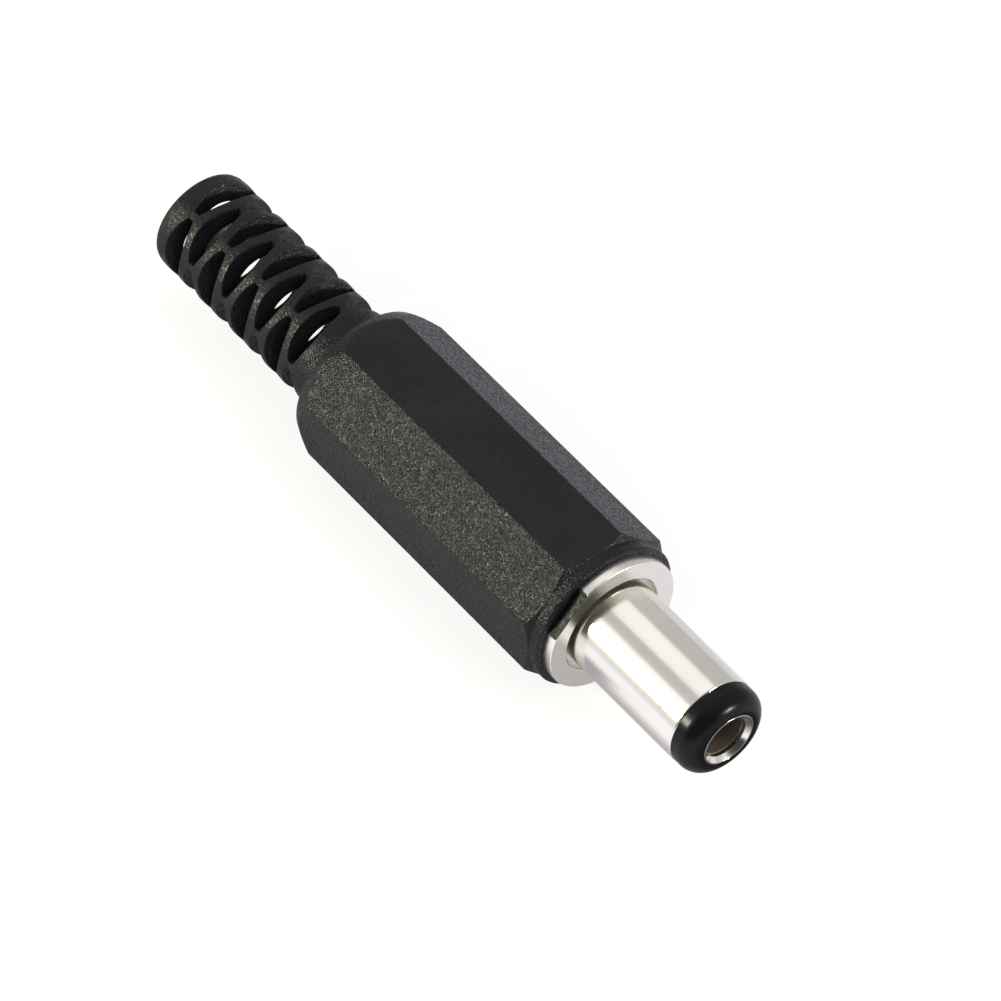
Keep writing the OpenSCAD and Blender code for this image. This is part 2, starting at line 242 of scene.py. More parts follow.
class Sheets:
    """Grids of points gathered into one closed mesh, whose shared borders are welded."""

    def __init__(self):
        self.points, self.quads, self.count = [], [], 0

    def grid(self, points, closed=True):
        """Adds a grid of rows by columns. A face looks along (next row) x (next column), and
        a closed grid joins its last column to its first."""
        rows, columns = points.shape[:2]
        index = self.count + np.arange(rows * columns).reshape(rows, columns)
        beside = np.roll(index, -1, axis=1)
        if not closed:
            index, beside = index[:, :-1], beside[:, :-1]
        self.quads.append(
            np.stack([index[:-1], index[1:], beside[1:], beside[:-1]], -1).reshape(-1, 4)
        )
        self.points.append(points.reshape(-1, 3))
        self.count += rows * columns

    def mesh(self, name):
        """Welds points that coincide, drops faces with no area, closes poles with triangles and
        marks sharp edges."""
        points = np.concatenate(self.points)
        _, first, back = np.unique(
            np.round(points / WELD).astype(np.int64), axis=0, return_index=True, return_inverse=True
        )
        quads = back.reshape(-1)[np.concatenate(self.quads)]
        same = quads == np.roll(quads, -1, axis=1)
        faces = quads[~same.any(1)].tolist()
        for corner in range(4):
            keep = [i for i in range(4) if i != corner]
            faces += quads[same[:, corner] & (same.sum(1) == 1)][:, keep].tolist()
        mesh = bpy.data.meshes.new(name)
        mesh.from_pydata(points[first].tolist(), [], faces)
        mesh.shade_smooth()
        mesh.set_sharp_from_angle(angle=SHARP)
        return mesh


def add_piece(name, sheets, body, material, node):
    """Puts a finished mesh in the scene, riding on its body in place of a frame node."""
    piece = bpy.data.objects.new(name, sheets.mesh(name))
    bpy.context.scene.collection.objects.link(piece)
    piece.data.materials.append(material)
    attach(piece, body)
    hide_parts(node)


def around(x, r, angles):
    """Points at place x along the axis and radius r, at angles from the top round the axis:
    -r sin(angle) across and r cos(angle) up, for numbers or whole arrays."""
    x, r, angles = np.broadcast_arrays(x, r, angles)
    return np.stack([x, -r * np.sin(angles), r * np.cos(angles)], -1)


def eased(path, radii, guard=GUARD, steps=6):
    """A line of (x, radius) corners with an arc in place of each inner corner. The arc of
    radius R turns by the corner's angle A and starts R tan(A / 2) before it. Two arcs that
    would take up too much of one stretch are both made smaller. One more point stands a
    little before and behind each arc, so that straight stretches shade straight."""
    path = np.asarray(path, float)
    runs = np.diff(path, axis=0)
    lengths = np.hypot(*runs.T)
    along = runs / lengths[:, None]
    turns = np.arccos(np.clip((along[:-1] * along[1:]).sum(1), -1, 1))
    tangents = np.zeros(len(path))
    tangents[1:-1] = radii * np.tan(turns / 2)
    wanted = np.maximum(tangents[:-1] + tangents[1:], WELD)
    share = np.minimum(ARCS_SHARE * lengths / wanted, 1)
    tangents[1:-1] *= np.minimum(share[:-1], share[1:])
    spare = lengths - tangents[:-1] - tangents[1:]
    out = [path[:1]]
    for i in range(1, len(path) - 1):
        u, v, turn = along[i - 1], along[i], turns[i - 1]
        if tangents[i] <= 0:
            out.append(path[i : i + 1])
            continue
        side = np.array([-u[1], u[0]]) * np.sign(u[0] * v[1] - u[1] * v[0])
        radius = tangents[i] / math.tan(turn / 2)
        a = np.linspace(0, turn, steps + 1)[:, None]
        arc = path[i] - u * tangents[i] + radius * (u * np.sin(a) + side * (1 - np.cos(a)))
        before, after = np.minimum(guard, GUARD_SHARE * spare[i - 1 : i + 1])
        out += [arc[:1] - u * before, arc, arc[-1:] + v * after]
    out.append(path[-1:])
    return np.concatenate(out)


def turned(path, angles):
    """A surface of revolution: every (x, radius) point of the line goes once round the axis."""
    x, radius = np.asarray(path, float).T[:, :, None]
    return around(x, radius, angles)


def full_circle(columns):
    """Even angles once round, from the top."""
    return np.linspace(0, FULL_TURN, columns, endpoint=False)


def apart(a, b):
    """Angle between directions round the axis: the difference brought to half a turn."""
    return np.abs((a - b + math.pi) % FULL_TURN - math.pi)


def circle_through(exact, columns, clear):
    """Exact angles, which must be met, and the even ones that are clear of them."""
    exact, even = np.ravel(exact) % FULL_TURN, full_circle(columns)
    return np.sort(np.concatenate([exact, even[apart(even[:, None], exact).min(1) > clear]]))


def thread_rows(front, turns, pitch, inner, outer, angles, per_turn):
    """A helical thread as rows of points. The radius follows a rounded triangle wave of
    (x / pitch + angle / full turn), and fades to the inner radius over the first and last
    half turn."""
    x = front - np.linspace(0, turns * pitch, turns * per_turn + 1)[:, None]
    phase = (front - x) / pitch + angles[None, :] / FULL_TURN
    wave = np.abs(2 * (phase % 1) - 1)
    crest = np.clip(1.25 * wave - 0.125, 0, 1)
    ends = np.clip(np.minimum(front - x, x - front + turns * pitch) / (pitch / 2), 0, 1)
    return around(x, inner + (outer - inner) * crest * ends, angles)


# The handle


def octagon(angles, flat, edge):
    """Radius of an octagon with rounded corners at each angle: flat / cos(a) along a side,
    and along the corner's arc the far root of the arc's circle, whose middle lies at
    (flat - edge) / cos(22.5 degrees)."""
    a = np.abs((angles + HALF_SIDE) % (2 * HALF_SIDE) - HALF_SIDE)
    start = math.atan(math.tan(HALF_SIDE) * (1 - edge / flat))
    middle = (flat - edge) / math.cos(HALF_SIDE)
    d = HALF_SIDE - a
    arc = middle * np.cos(d) + np.sqrt(np.maximum(edge**2 - (middle * np.sin(d)) ** 2, 0))
    return np.where(a < start, flat / np.cos(a), arc)


def handle_angles(sizes, relief):
    """Angles round the handle: even steps, plus the corners' arcs, a guard beside each, and
    the slots' ends, which must be met exactly."""
    start = HALF_SIDE - math.atan(math.tan(HALF_SIDE) * (1 - sizes.edge / FLAT))
    marks = np.concatenate([np.linspace(-start, start, 7), np.array([-1.4, 1.4]) * start])
    corners = HALF_SIDE + 2 * HALF_SIDE * np.arange(8)
    exact = [(corners[:, None] + marks).ravel()]
    ends = np.array([-1, 1]) * slot_reach(relief)
    for row in range(2):
        middles = row_angle(row, relief) + slot_step(relief) * np.arange(relief.around)
        exact.append((middles[:, None] + ends).ravel())
    return circle_through(np.concatenate(exact), 144, math.radians(0.7))


def slot_step(relief):
    """Angle from one slot of a row to the next."""
    return FULL_TURN / relief.around


def slot_reach(relief):
    """Half the angle that a slot takes up, which leaves a post of the given width."""
    return math.pi / relief.around - math.asin(relief.post / 2 / relief.outer)


def row_angle(row, relief):
    """Angle of a row's first slot. Every second row is turned by half a slot."""
    return relief.turn + (row % 2) / 2 * slot_step(relief)


def slot_half_width(angles, row, relief):
    """Half the width of a row's slots at each angle: two arcs of one radius R that cross in a
    lens, sqrt(R^2 - t^2) - (R - width / 2) at the distance t = outer radius x sin(angle) from
    the slot's middle. Beyond a slot's ends the width stays what it is there."""
    reach = slot_reach(relief)
    chord = relief.outer * math.sin(reach)
    bulge = (relief.slot - relief.slot_end) / 2
    arc = (chord**2 + bulge**2) / (2 * bulge)
    t = relief.outer * np.sin(np.clip(from_slot(angles, row, relief), -reach, reach))
    return np.sqrt(arc**2 - t**2) - (arc - relief.slot / 2)


def from_slot(angles, row, relief):
    """Angle from the middle of the row's nearest slot."""
    step = slot_step(relief)
    return (angles - row_angle(row, relief) + step / 2) % step - step / 2


def rib_radius(x, shoulder, relief):
    """Outer radius along the strain relief: a shallow arc over every rib, which starts and
    ends at the middles of the rows of slots."""
    half = relief.pitch / 2
    arc = (half**2 + relief.swell**2) / (2 * relief.swell)
    first = shoulder - relief.neck + half
    along = (x - first + half) % relief.pitch - half
    swollen = relief.outer - arc + np.sqrt(arc**2 - along**2)
    inside = (x < first + half) & (x > first - half - relief.rows * relief.pitch)
    return np.where(inside, swollen, relief.outer - relief.swell)


def between(angles, start, end):
    """Indices of the columns from one angle to another, going round."""
    first, last = apart(angles, np.array([[start], [end]])).argmin(1)
    return (first + np.arange((last - first) % len(angles) + 1)) % len(angles)


def blend(a, b, shares):
    """Grid that goes straight from points a to points b: a (1 - share) + b share."""
    shares = np.asarray(shares)[:, None, None]
    return a[None] * (1 - shares) + b[None] * shares


def handle_outside(sheets, angles, sizes, shoulder, relief):
    """Front face, rim, cone, flats, rear cone and rear face. A flat of radius F meets a cone
    of slope m at a scalloped line, and the radius near it is F - m q, where q is 0 on the flat,
    the distance s past the line on the cone, and (s + e)^2 / 4e within the ease e of it."""
    flat = octagon(angles, FLAT, sizes.edge)
    rim_x = SEAT - sizes.rim_run
    front_slope = (sizes.turned - sizes.rim) / sizes.front_cone
    front_line = rim_x - (flat - sizes.rim) / front_slope
    rear_slope = (sizes.turned - sizes.rear) / sizes.rear_cone
    rear_line = shoulder + (flat - sizes.rear) / rear_slope
    mouth = eased(
        [(SEAT, sizes.socket + sizes.rim_round), (SEAT, sizes.rim), (rim_x, sizes.rim)],
        sizes.rim_round,
    )
    rows = list(turned(mouth, angles))
    run = rim_x - front_line
    ease = np.minimum(sizes.ease, GUARD_SHARE * run)
    for share in (0.75, 0.5, 0.25, 0):  # The front cone, from the rim to the ease
        s = ease + (run - ease) * share
        rows.append(around(front_line + s, flat - front_slope * s, angles))
    for share in (0.6, 0.2, -0.2, -0.6, -1):  # The eased scalloped line in front
        drop = front_slope * ease * (share + 1) ** 2 / 4
        rows.append(around(front_line + ease * share, flat - drop, angles))
    ease_rear = sizes.ease * 3
    near, far = front_line - ease - sizes.ease, rear_line + ease_rear + sizes.ease
    for share in np.linspace(0, 1, 13):  # The flats
        rows.append(around(near + (far - near) * share, flat, angles))
    for share in (-1, -0.6, -0.2, 0.2, 0.6, 1):  # The eased line at the rear
        drop = rear_slope * ease_rear * (share + 1) ** 2 / 4
        rows.append(around(rear_line - ease_rear * share, flat - drop, angles))
    tangent = sizes.rear_round * math.tan(math.pi / 4 - math.atan(rear_slope) / 2)
    back = eased(
        [
            (shoulder + 4 * tangent, sizes.rear + rear_slope * 4 * tangent),
            (shoulder, sizes.rear),
            (shoulder, relief.outer - relief.swell),
            (shoulder - 3 * relief.fillet, relief.outer - relief.swell),
        ],
        [sizes.rear_round, relief.fillet],
    )[1:-1]
    start = rear_line - ease_rear
    for share in (0.33, 0.66):  # The rear cone, up to its rounded edge
        x = start + (back[0, 0] - start) * share
        rows.append(around(x, sizes.rear + rear_slope * (x - shoulder), angles))
    rows += list(turned(back, angles))
    sheets.grid(np.stack(rows))
    return rows[-1]


def strain_relief(sheets, angles, start, shoulder, relief):
    """Ribs, posts and slot walls of the strain relief, outside and in, and its rear ring.
    A rib is a band between the slots in front of it and those behind it, both of which it
    follows, and near a slot its radius falls by a quarter circle, which fades out at the
    slot's ends. Slots narrow from the outside to the bore by the taper."""
    middles = shoulder - relief.neck - relief.pitch * np.arange(relief.rows)
    end_x, ring_radius = REAR_END + relief.end_round, relief.outer - relief.swell
    across, wall = np.linspace(1, -1, 5), np.linspace(0, 1, 5)
    soften, fade, crease = relief.soften, math.radians(5), 0.03 * MM
    fall = np.array([0, 0.12, 0.35, 0.65, 1, 1.3]) * soften

    def softness(row):
        """How far a slot's edge is softened: 1 along it, and 3 s^2 - 2 s^3 near its ends."""
        inside = slot_reach(relief) - np.abs(from_slot(angles, row, relief))
        share = np.clip(inside / fade, 0, 1)
        return share * share * (3 - 2 * share)

    def outer_half(row):
        """Half the width of the row's slots outside."""
        return slot_half_width(angles, row, relief)

    def inner_half(row):
        """Half their width at the bore."""
        return outer_half(row) * (1 - relief.taper)

    def drop(distance):
        """Fall of a quarter circle of radius s at a distance d: s - sqrt(s^2 - (s - d)^2)."""
        d = np.clip(distance, 0, soften)
        return soften - np.sqrt(soften**2 - (soften - d) ** 2)

    def rib(x, front, rear, k):
        """One line round a rib, at a place x that may differ from angle to angle."""
        radius = rib_radius(x, shoulder, relief)
        if k > 0:
            radius = radius - drop(front - x) * softness(k - 1)
        if k < relief.rows:
            radius = radius - drop(x - rear) * softness(k)
        return around(x, radius, angles)

    fronts, rears = [], []
    for k in range(relief.rows + 1):
        front = middles[k - 1] - outer_half(k - 1) if k > 0 else start[:, 0]
        rear = middles[k] + outer_half(k) if k < relief.rows else end_x
        places = [front - d for d in fall] if k > 0 else [front]
        near, far = places[-1], rear + (fall[-1] if k < relief.rows else 0)
        places += [near + (far - near) * s for s in np.linspace(0, 1, 6)[1:-1]]
        places += [rear + d for d in fall[::-1]] if k < relief.rows else [rear + 0 * front]
        rows = [rib(x, front, rear, k) for x in places]
        sheets.grid(np.stack(rows))
        fronts.append(rows[0])
        rears.append(rows[-1])
    inner_x = middles[-1] - (relief.slot + relief.inner - relief.bore) / 2
    ring = eased(
        [
            (end_x, ring_radius),
            (REAR_END, ring_radius),
            (REAR_END, relief.bore + relief.end_bevel),
            (REAR_END + relief.end_bevel, relief.bore),
            (inner_x - (relief.inner - relief.bore), relief.bore),
            (inner_x, relief.inner),
        ],
        [relief.end_round, crease, crease, 0],
    )
    sheets.grid(turned(ring, angles))
    inner_fronts, inner_rears = {}, {}
    for k in range(relief.rows, 0, -1):
        rear = middles[k] + inner_half(k) if k < relief.rows else inner_x + 0 * angles
        front = middles[k - 1] - inner_half(k - 1)
        rows = blend(
            around(rear, relief.inner, angles), around(front, relief.inner, angles), (0, 0.5, 1)
        )
        sheets.grid(rows)
        inner_rears[k], inner_fronts[k] = rows[0], rows[-1]
    inner_rears[0] = around(middles[0] + inner_half(0), relief.inner, angles)
    reach, step = slot_reach(relief), slot_step(relief)
    for k in range(relief.rows):
        for slot in range(relief.around):
            middle = row_angle(k, relief) + slot * step
            hole = between(angles, middle - reach, middle + reach)
            post = between(angles, middle + reach, middle + step - reach)
            outside = post_patch(rears[k][post], across, shoulder, middles[k], relief)
            inside = blend(inner_rears[k][post], inner_fronts[k + 1][post], (1 - across) / 2)
            for sheet in (
                blend(rears[k][hole], inner_rears[k][hole], wall),
                blend(inner_fronts[k + 1][hole], fronts[k + 1][hole], wall),
                outside,
                inside[::-1],
                blend(outside[:, 0], inside[:, 0], wall),
                blend(inside[:, -1], outside[:, -1], wall),
            ):
                sheets.grid(sheet, closed=False)
    return inner_rears[0]


def post_patch(front, across, shoulder, middle, relief):
    """Outside of a post: its front edge carried straight back over the row's middle, at the
    radius that the ribs have there."""
    angles = np.arctan2(-front[:, 1], front[:, 2])
    x = middle + np.outer(across, front[:, 0] - middle)
    return around(x, rib_radius(x, shoulder, relief), angles)


def handle_inside(sheets, angles, start, shoulder, sizes, relief, metal):
    """Cable bore, funnel, wiring space and the screw socket with its helical thread, up to
    the front face."""
    wiring_x = shoulder + sizes.wall + sizes.funnel
    socket_x = SEAT - sizes.socket_run
    crest, groove = sizes.socket - metal.play, sizes.socket + metal.depth
    space = [
        (wiring_x - sizes.funnel, relief.inner),
        (wiring_x, sizes.wiring),
        (socket_x, sizes.wiring),
        (socket_x, crest),
    ]
    rim = [(SEAT - sizes.rim_round, crest), (SEAT, sizes.socket + sizes.rim_round)]
    thread = thread_rows(SEAT - metal.neck, metal.turns, metal.pitch, crest, groove, angles, 8)
    sheets.grid(
        np.concatenate([start[None], turned(space, angles), thread[::-1], turned(rim, angles)])
    )


class PLUG_OT_handle(bpy.types.Operator):
    """Builds the one-piece handle with its slotted strain relief"""

    bl_idname = "plug.handle"
    bl_label = "Handle"

    def execute(self, context):
        sizes, relief = context.scene.plug_handle, context.scene.plug_relief
        shoulder = SEAT - sizes.body
        angles = handle_angles(sizes, relief)
        sheets = Sheets()
        neck = handle_outside(sheets, angles, sizes, shoulder, relief)
        bore = strain_relief(sheets, angles, neck, shoulder, relief)
        handle_inside(sheets, angles, bore, shoulder, sizes, relief, context.scene.plug_metal)
        material = moulded_plastic(shoulder)
        add_piece("handle_shell", sheets, "cover", material, "handle")
        return {"FINISHED"}


# The metal pieces and the nose


def flange_radius(angles, sizes):
    """Radius of the flange: the smaller of the circle's and half the distance across the
    flats / cos(angle from where they face), whose cosine is kept clear of nothing."""
    across = np.abs(np.cos(angles - FLATS_FACE))
    return np.minimum(FLANGE, sizes.flats / 2 / np.maximum(across, 0.1))


def collar_angles(sizes):
    """Even angles round the collar, plus the ends of the wrench flats and a guard on both
    sides of each, which must be met exactly."""
    corner, guard = math.acos(sizes.flats / 2 / FLANGE), math.radians(0.5)
    ends = np.array([-corner, corner])[:, None] + np.array([-guard, 0, guard])
    flats = FLATS_FACE + np.array([0, math.pi])
    return circle_through(flats[:, None] + ends.ravel(), 180, math.radians(0.8))


class PLUG_OT_collar(bpy.types.Operator):
    """Builds the turned collar with its flange, wrench flats and screw thread: one line
    that starts at the recess, goes round the flange, back along the thread and the spigot
    and forward through the bore, and turns once round the axis"""

    bl_idname = "plug.collar"
    bl_label = "Collar"

    def execute(self, context):
        sizes = context.scene.plug_metal
        angles = collar_angles(sizes)
        rim = flange_radius(angles, sizes)
        root = sizes.thread - sizes.depth
        seat = FACE - sizes.flange
        thread_front = seat - sizes.neck
        thread_rear = thread_front - sizes.turns * sizes.pitch
        recess_x = FACE - sizes.recess_run
        edge, back_edge, corner = 0.06 * MM, 0.03 * MM, 0.05 * MM
        face_reach, seat_reach = 3.8 * MM, 3.7 * MM
        rows = [around(FACE, r, angles) for r in np.linspace(sizes.recess + edge, face_reach, 5)]
        for a in np.linspace(0, math.pi / 2, 6):
            x, radius = FACE - edge * (1 - math.cos(a)), rim - edge * (1 - math.sin(a))
            rows.append(around(x, radius, angles))
        rows.append(around(FACE - 1.5 * edge, rim, angles))
        for a in np.linspace(0, math.pi / 2, 4):
            x, radius = seat + back_edge * (1 - math.sin(a)), rim - back_edge * (1 - math.cos(a))
            rows.append(around(x, radius, angles))
        back = eased([(seat, seat_reach), (seat, root), (thread_front, root)], corner)
        thread = thread_rows(thread_front, sizes.turns, sizes.pitch, root, sizes.thread, angles, 12)
        tail = eased(
            [
                (thread_rear, root),
                (thread_rear, sizes.spigot),
                (SPIGOT_END + sizes.stake_run, sizes.spigot),
                (SPIGOT_END + sizes.stake_run, sizes.spigot + sizes.stake),
                (SPIGOT_END, sizes.spigot + sizes.stake),
                (SPIGOT_END, sizes.hub),
                (BARREL_FLOOR, sizes.hub),
                (BARREL_FLOOR, sizes.root),
                (recess_x, sizes.root),
                (recess_x, sizes.recess),
                (FACE - edge, sizes.recess),
                (FACE, sizes.recess + edge),
            ],
            CREASE,
            guard=GUARD / 2,
            steps=3,
        )
        rows += [*turned(back, angles), *thread[1:], *turned(tail[1:], angles)]
        sheets = Sheets()
        sheets.grid(np.stack(rows))
        material = turned_nickel(sizes.flats / 2)
        add_piece("flanged_collar", sheets, "plug", material, "collar")
        return {"FINISHED"}


class PLUG_OT_barrel(bpy.types.Operator):
    """Builds the polished outer barrel, a tube whose root is pressed into the collar: a
    closed line with eased corners, turned once round the axis"""

    bl_idname = "plug.barrel"
    bl_label = "Barrel"

    def execute(self, context):
        sizes = context.scene.plug_metal
        floor_x = FACE - sizes.recess_run
        end_round, inset = 0.1 * MM, 0.3 * MM
        path = eased(
            [
                (BARREL_END, sizes.tube),
                (BARREL_END, BARREL),
                (floor_x, BARREL),
                (floor_x, sizes.root),
                (BARREL_FLOOR, sizes.root),
                (BARREL_FLOOR, sizes.tube),
            ],
            [end_round, CREASE, CREASE, CREASE],
        )
        stations = np.linspace(BARREL_END - inset, floor_x + inset, 12)
        middle = np.stack([stations, np.full_like(stations, BARREL)], -1)
        split = int(np.argmax(path[:, 0] < BARREL_END - inset))
        path = np.concatenate([path[:split], middle, path[split:]])
        sheets = Sheets()
        sheets.grid(turned(np.concatenate([path, path[:1]]), full_circle(192)))
        material = bright_nickel("barrel nickel")
        add_piece("plated_barrel", sheets, "plug", material, "barrel")
        return {"FINISHED"}


class PLUG_OT_nose(bpy.types.Operator):
    """Builds the rounded black nose and its tube inside the barrel: a closed line, whose
    outer front corner is a wide arc, turned once round the axis"""

    bl_idname = "plug.nose"
    bl_label = "Nose insulator"

    def execute(self, context):
        sizes = context.scene.plug_metal
        outer = BARREL - sizes.nose_step
        tube, bore = sizes.tube - sizes.play, sizes.contact + sizes.play
        lip_x = TIP - sizes.lip_run
        path = eased(
            [
                (TIP, sizes.lip),
                (TIP, outer),
                (BARREL_END, outer),
                (BARREL_END, tube),
                (NOSE_FLOOR, tube),
                (NOSE_FLOOR, bore),
                (lip_x, bore),
                (lip_x, sizes.lip),
                (TIP, sizes.lip),
            ],
            [sizes.nose_round, 1.5 * CREASE, CREASE, 0, 0, 0, 0],
            steps=20,
        )
        sheets = Sheets()
        sheets.grid(turned(path, full_circle(160)))
        add_piece("nose_moulding", sheets, "plug", nose_plastic(), "nose_insulator")
        return {"FINISHED"}


class PLUG_OT_contact(bpy.types.Operator):
    """Builds the centre contact, a tube with a rolled lip and a riveted tail: one line
    from the mouth back to the rivet's middle, and one inside, both turned round the axis"""

    bl_idname = "plug.contact"
    bl_label = "Contact tube"

    def execute(self, context):
        sizes = context.scene.plug_metal
        lug_x, lip_x = RIVET_END + sizes.rivet_run, TIP - sizes.lip_run
        bevel = sizes.contact - sizes.mouth
        rolled, rivet_edge, head = 2 * CREASE, 0.1 * MM, 0.05 * MM
        path = eased(
            [
                (TIP - bevel, sizes.mouth),
                (TIP, sizes.contact),
                (TIP, sizes.lip),
                (lip_x, sizes.lip),
                (lip_x, sizes.contact),
                (BARREL_FLOOR, sizes.contact),
                (BARREL_FLOOR, sizes.tail),
                (lug_x, sizes.tail),
                (lug_x, sizes.rivet),
                (lug_x - sizes.rivet_run / 2, sizes.rivet),
                (RIVET_END, sizes.tail),
                (RIVET_END, 0),
            ],
            [rolled, rolled, CREASE, 0, CREASE, 0, 0, rivet_edge, rivet_edge, head],
        )
        inside = [
            (TIP - sizes.floor, 0),
            (TIP - sizes.floor, sizes.contact_in),
            (SPRING_FRONT, sizes.contact_in),
            (SPRING_FRONT, sizes.mouth),
            (TIP - bevel, sizes.mouth),
        ]
        sheets = Sheets()
        angles = full_circle(128)
        sheets.grid(turned(path, angles))
        sheets.grid(turned(inside, angles))
        material = bright_nickel("contact nickel")
        add_piece("lipped_contact", sheets, "plug", material, "contact_tube")
        return {"FINISHED"}


class PLUG_OT_inner_pieces(bpy.types.Operator):
    """Gives the lugs, the contact spring and the insulating bush their finishes"""

    bl_idname = "plug.inner_pieces"
    bl_label = "Inner pieces"

    def execute(self, context):
        finishes = {
            "barrel_lug": tinned_strip("barrel lug tin"),
            "centre_lug": tinned_strip("centre lug tin"),
            "contact_spring": spring_bronze(),
            "insulating_bush": bush_fibre(),
        }
        for node, material in finishes.items():
            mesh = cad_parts[node].data
            mesh.materials.clear()
            mesh.materials.append(material)
        return {"FINISHED"}


# Finishes


class Wire:
    """An output socket that arithmetic works on: every operator adds one Math node."""

    def __init__(self, tree, socket):
        self.tree, self.socket = tree, socket

    def math(self, operation, *values):
        node = self.tree.nodes.new("ShaderNodeMath")
        node.operation = operation
        for socket, value in zip(node.inputs, values):
            connect(self.tree, socket, value)
        return Wire(self.tree, node.outputs[0])

    def __add__(self, other):
        return self.math("ADD", self, other)

    __radd__ = __add__

    def __sub__(self, other):
        return self.math("SUBTRACT", self, other)

    def __rsub__(self, other):
        return self.math("SUBTRACT", other, self)

    def __mul__(self, other):
        return self.math("MULTIPLY", self, other)

    __rmul__ = __mul__

    def __pow__(self, other):
        return self.math("POWER", self, other)

    def __rpow__(self, other):
        return self.math("POWER", other, self)


def connect(tree, socket, value):
    """Links a wire to a socket, or sets the socket's own value."""
    if isinstance(value, Wire):
        tree.links.new(value.socket, socket)
    else:
        socket.default_value = value


class Finish:
    """A material or world whose nodes are added one call at a time."""

    def __init__(self, block):
        block.use_nodes = True
        self.block, self.tree = block, block.node_tree
        self.tree.nodes.clear()

    def node(self, kind, settings=None, output=0, **sockets):
        """Adds a node: its settings first, then the values or links of its sockets, whose
        names are written with _ for a space, or as _0, _1 by number."""
        node = self.tree.nodes.new("ShaderNode" + kind)
        for key, value in (settings or {}).items():
            setattr(node, key, value)
        for key, value in sockets.items():
            name = int(key[1:]) if key[1:].isdigit() else key.replace("_", " ")
            connect(self.tree, node.inputs[name], value)
        return Wire(self.tree, node.outputs[output]) if node.outputs else None

    def place(self):
        """Where a point lies in the piece's own frame, in metres."""
        return self.node("TexCoord", output="Object")

    def axes(self, vector):
        """The three numbers of a vector."""
        split = self.node("SeparateXYZ", Vector=vector).socket.node
        return [Wire(self.tree, out) for out in split.outputs]

    def noise(self, place, scale, detail=2.0, roughness=0.5):
        """Soft noise from 0 to 1, with about scale spots a metre."""
        return self.node(
            "TexNoise", {"noise_dimensions": "3D"},
            Vector=place, Scale=scale, Detail=detail, Roughness=roughness,
        )

    def rays(self, *kinds):
        """One for rays of each kind and zero for all others."""
        path = self.node("LightPath").socket.node
        return [Wire(self.tree, path.outputs[f"Is {kind} Ray"]) for kind in kinds]

    def stretched(self, place, scale):
        """A place whose axes are scaled one by one."""
        return self.node("Mapping", {"vector_type": "POINT"}, Vector=place, Scale=scale)

    def ramp(self, value, low, high, start=0.0, end=1.0):
        """Goes smoothly from start to end as the value goes from low to high."""
        return self.node(
            "MapRange", {"interpolation_type": "SMOOTHSTEP"},
            Value=value, From_Min=low, From_Max=high, To_Min=start, To_Max=end,
        )

    def spread(self, noise, start=0.0, end=1.0):
        """Goes from start to end over 0.3 to 0.7, where most of a noise lies."""
        return self.ramp(noise, 0.3, 0.7, start, end)

    def mix(self, share, a, b):
        """One colour turned into another by a share."""
        a, b = (c if isinstance(c, Wire) else (*c, 1) for c in (a, b))
        return self.node("Mix", {"data_type": "RGBA"}, 2, Factor=share, _6=a, _7=b)

    def vary(self, share, colour, strength):
        """A colour that a share turns into strength times itself."""
        return self.mix(share, colour, [strength * c for c in colour])

    def bump(self, height, depth):
        """A normal tilted by a height from 0 to 1 over a depth in metres."""
        return self.node("Bump", Height=height, Distance=depth, Strength=1)

    def finish(self, shader):
        """Puts the shader on the output."""
        kind = "OutputWorld" if isinstance(self.block, bpy.types.World) else "OutputMaterial"
        self.node(kind, Surface=shader)
        return self.block


def new_finish(name):
    """An empty material, the plug's colours and where a point lies in its piece's frame."""
    f = Finish(bpy.data.materials.new(name))
    return f, bpy.context.scene.plug_colours, f.place()


def moulded_plastic(shoulder):
    """Black plastic with the fine pitted grain of a spark-eroded mould, glossier where the
    grain is low. The strain relief behind the shoulder has a weaker grain and is uneven."""
    f, colours, place = new_finish("moulded plastic")
    relief = f.ramp(f.axes(place)[0], shoulder - 1 * MM, shoulder - 1.8 * MM)
    grain = f.noise(place, 8500, 1.5)
    pits = f.noise(place, 5200, 1)
    uneven = f.noise(place, 1600, 3, 0.6)
    height = (grain + pits * 0.6) * (1 - relief * 0.55) + uneven * relief * 1.3
    patch = f.noise(place, 400, 3)
    shader = f.node(
        "BsdfPrincipled",
        Base_Color=f.vary(f.spread(patch), colours.plastic, 1.5),
        Specular_IOR_Level=0.22,
        Roughness=f.ramp(pits + grain, 0.8, 1.2, 0.15, 0.45) + relief * 0.12,
        Normal=f.bump(height, 0.07 * MM),
    )
    return f.finish(shader)


def nose_plastic():
    """Glossy black plastic with the faintest unevenness."""
    f, colours, place = new_finish("nose plastic")
    shader = f.node(
        "BsdfPrincipled",
        Base_Color=f.vary(f.noise(place, 600), colours.nose, 1.6),
        Specular_IOR_Level=0.15,
        Roughness=f.spread(f.noise(place, 3000, 3), 0.2, 0.26),
        Normal=f.bump(f.noise(place, 1600), 0.004 * MM),
    )
    return f.finish(shader)


def bright_nickel(name):
    """Bright nickel over a finely turned tube: hair-thin rings along the axis change the
    roughness a little."""
    f, colours, place = new_finish(name)
    rings = f.noise(f.stretched(place, (24000, 300, 300)), 1, 3, 0.6)
    cloud = f.noise(place, 500, 3)
    shader = f.node(
        "BsdfPrincipled",
        Metallic=1.0,
        Base_Color=f.vary(f.spread(cloud), colours.nickel, 0.97),
        Roughness=f.spread(rings, 0.13, 0.19) + cloud * 0.03,
        Normal=f.bump(rings, 0.0008 * MM),
    )
    return f.finish(shader)


